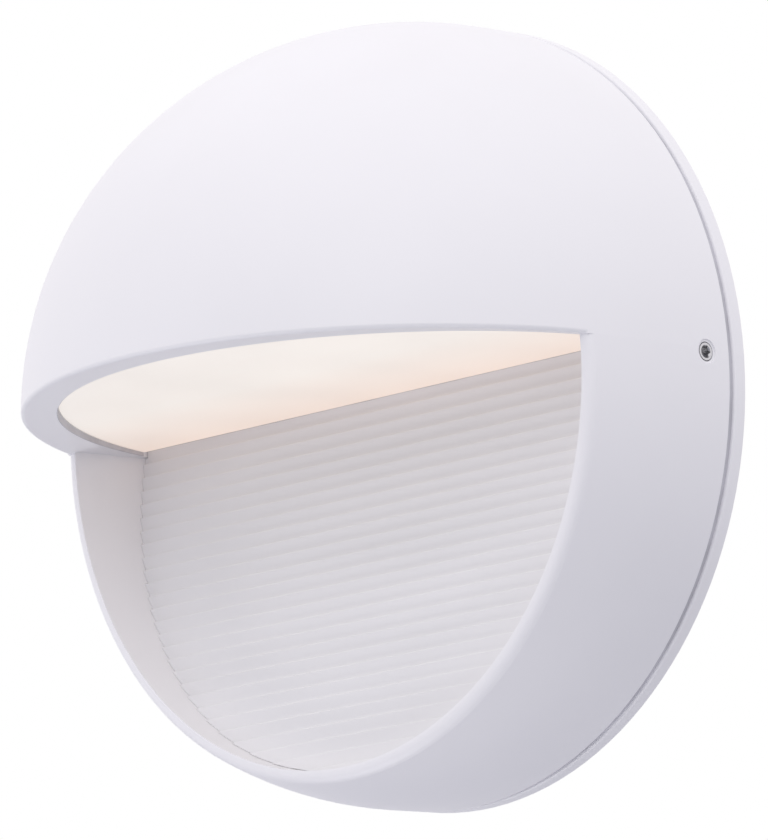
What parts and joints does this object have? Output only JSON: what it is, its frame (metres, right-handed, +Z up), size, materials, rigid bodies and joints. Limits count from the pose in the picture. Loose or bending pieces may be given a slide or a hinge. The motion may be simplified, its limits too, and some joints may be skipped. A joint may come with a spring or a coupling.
{
  "type": "outdoor wall light",
  "caption": "Round wall light with a half-ball hood, a down-facing opal diffuser and a ribbed reflector recess, on a thin wall plate.",
  "frame": {"origin": "centre of the wall plate's back face, which lies on the wall", "axes": "+Z up, -Y away from the wall (the front of the light), +X to the viewer's right when facing the light"},
  "size_m": [0.165, 0.0949, 0.165],
  "materials": {
    "white_paint": "satin powder coat on cast aluminium",
    "white_moulding": "white moulded plastic, matt",
    "opal_diffuser": "opal plastic, lit warm white",
    "foam": "black closed-cell foam",
    "black_rubber": "black rubber",
    "grey_rubber": "grey rubber",
    "silicone": "translucent white silicone",
    "stainless": "stainless steel",
    "bare_aluminium": "bare pressed aluminium",
    "board_white": "white solder mask on aluminium board",
    "led_yellow": "yellow phosphor over a white package",
    "driver_case": "white potted case",
    "terminal_plastic": "natural plastic",
    "brass": "brass",
    "brass_screw": "plated brass",
    "live_insulation": "brown insulation",
    "neutral_insulation": "blue insulation",
    "earth_insulation": "green insulation",
    "tinned_copper": "tinned copper",
    "positive_insulation": "red insulation",
    "negative_insulation": "black insulation"
  },
  "bodies": {
    "wall_mount": {"mounting_plate": "white_paint", "wall_gasket": "foam", "cable_grommet": "black_rubber", "housing_gasket": "grey_rubber"},
    "front": {"housing": "white_paint", "ribbed_reflector": "white_moulding", "reflector_seal": "silicone", "reflector_screws": "stainless", "diffuser": "opal_diffuser", "diffuser_gasket": "silicone", "light_box": "white_moulding", "led_tray": "bare_aluminium", "tray_screws": "stainless", "led_board": "board_white", "led_chips": "led_yellow", "led_board_screws": "stainless", "led_driver": "driver_case", "driver_screws": "stainless", "terminal_block": "terminal_plastic", "terminal_sleeves": "brass", "terminal_clamp_screws": "brass_screw", "terminal_block_screws": "stainless", "live_lead": "live_insulation", "neutral_lead": "neutral_insulation", "earth_lead": "earth_insulation", "earth_lug": "tinned_copper", "earth_screw": "stainless", "led_lead_positive": "positive_insulation", "led_lead_negative": "negative_insulation"},
    "side_screw_right": {"side_screw_right": "stainless"},
    "side_screw_left": {"side_screw_left": "stainless"}
  },
  "joints": [
    {"name": "housing_pull_off", "type": "slide", "parent": "wall_mount", "child": "front", "axis": [0, -1, 0], "range_m": [0, 0.03]},
    {"name": "right_screw_back_out", "type": "slide", "parent": "front", "child": "side_screw_right", "axis": [1, 0, 0], "range_m": [0, 0.003]},
    {"name": "left_screw_back_out", "type": "slide", "parent": "front", "child": "side_screw_left", "axis": [-1, 0, 0], "range_m": [0, 0.003]}
  ]
}
